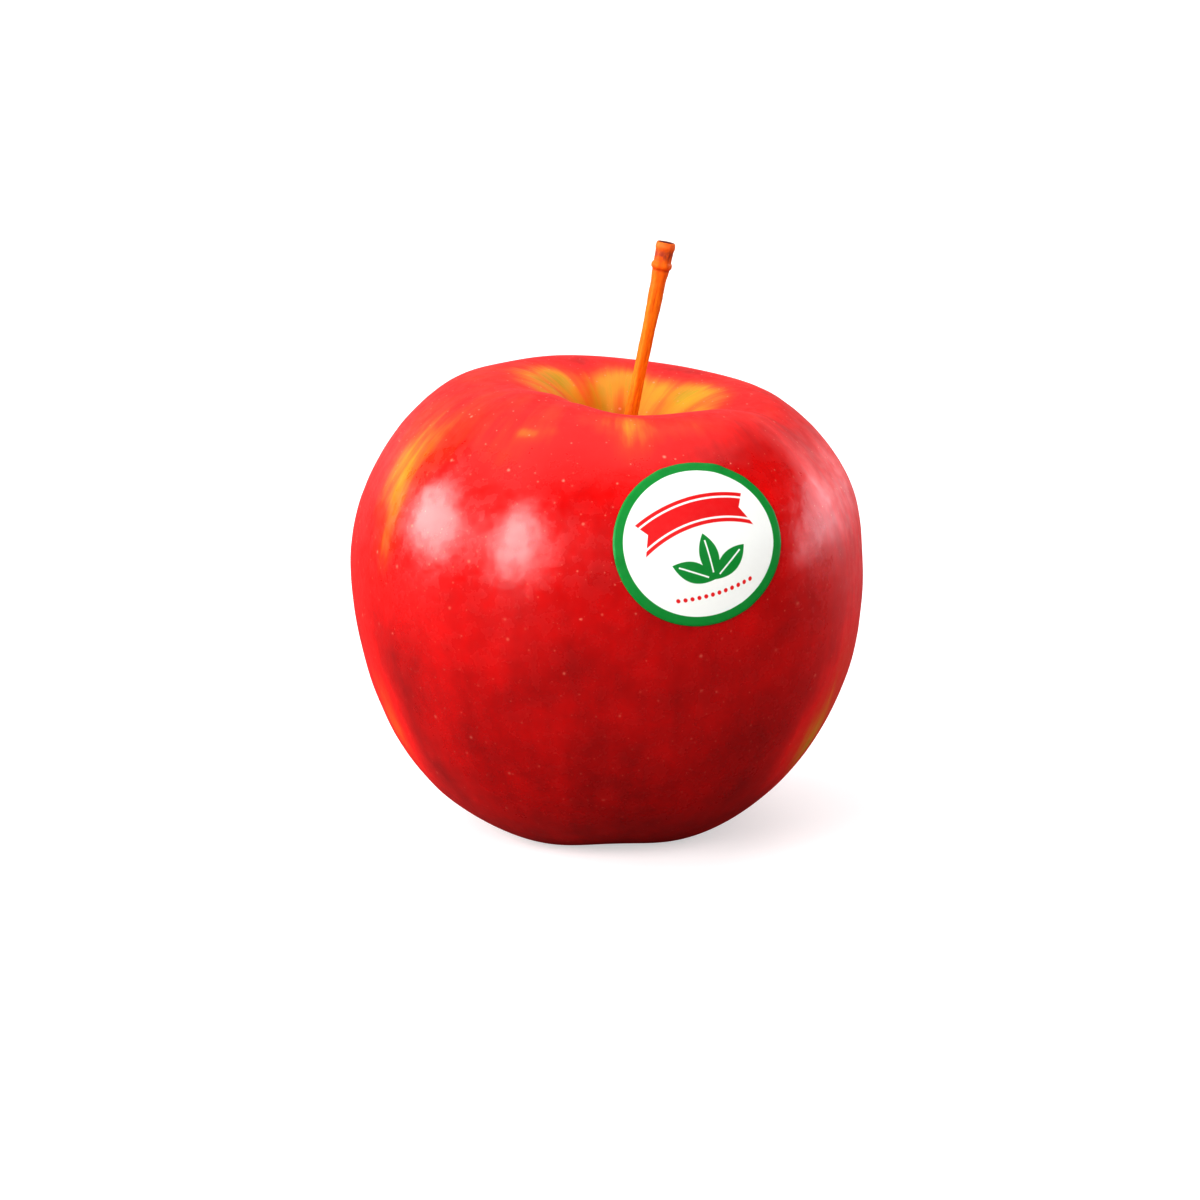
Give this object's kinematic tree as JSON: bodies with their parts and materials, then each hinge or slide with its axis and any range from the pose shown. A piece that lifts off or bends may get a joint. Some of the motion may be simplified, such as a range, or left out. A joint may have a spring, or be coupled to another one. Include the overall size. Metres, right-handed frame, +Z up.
{
  "type": "apple",
  "caption": "Fresh dessert apple with its stem, dried eye and an oval paper label, standing on the feet round its eye basin.",
  "frame": {"origin": "on the table, under the middle of the whole apple's outline", "axes": "+Z up along the core, -Y towards the side with the label, +X the side that the stem leans to"},
  "size_m": [0.0662, 0.0664, 0.0762],
  "materials": {
    "skin": "waxed satin skin, streaked red",
    "stem": "dry young wood",
    "sepal": "dried leaf",
    "stamen": "dried threads",
    "label": "coated paper"
  },
  "bodies": {
    "root": {"fruit": "skin", "stem": "stem", "sepal_1": "sepal", "sepal_2": "sepal", "sepal_3": "sepal", "sepal_4": "sepal", "sepal_5": "sepal", "stamen_tuft": "stamen", "label": "label"}
  },
  "joints": []
}
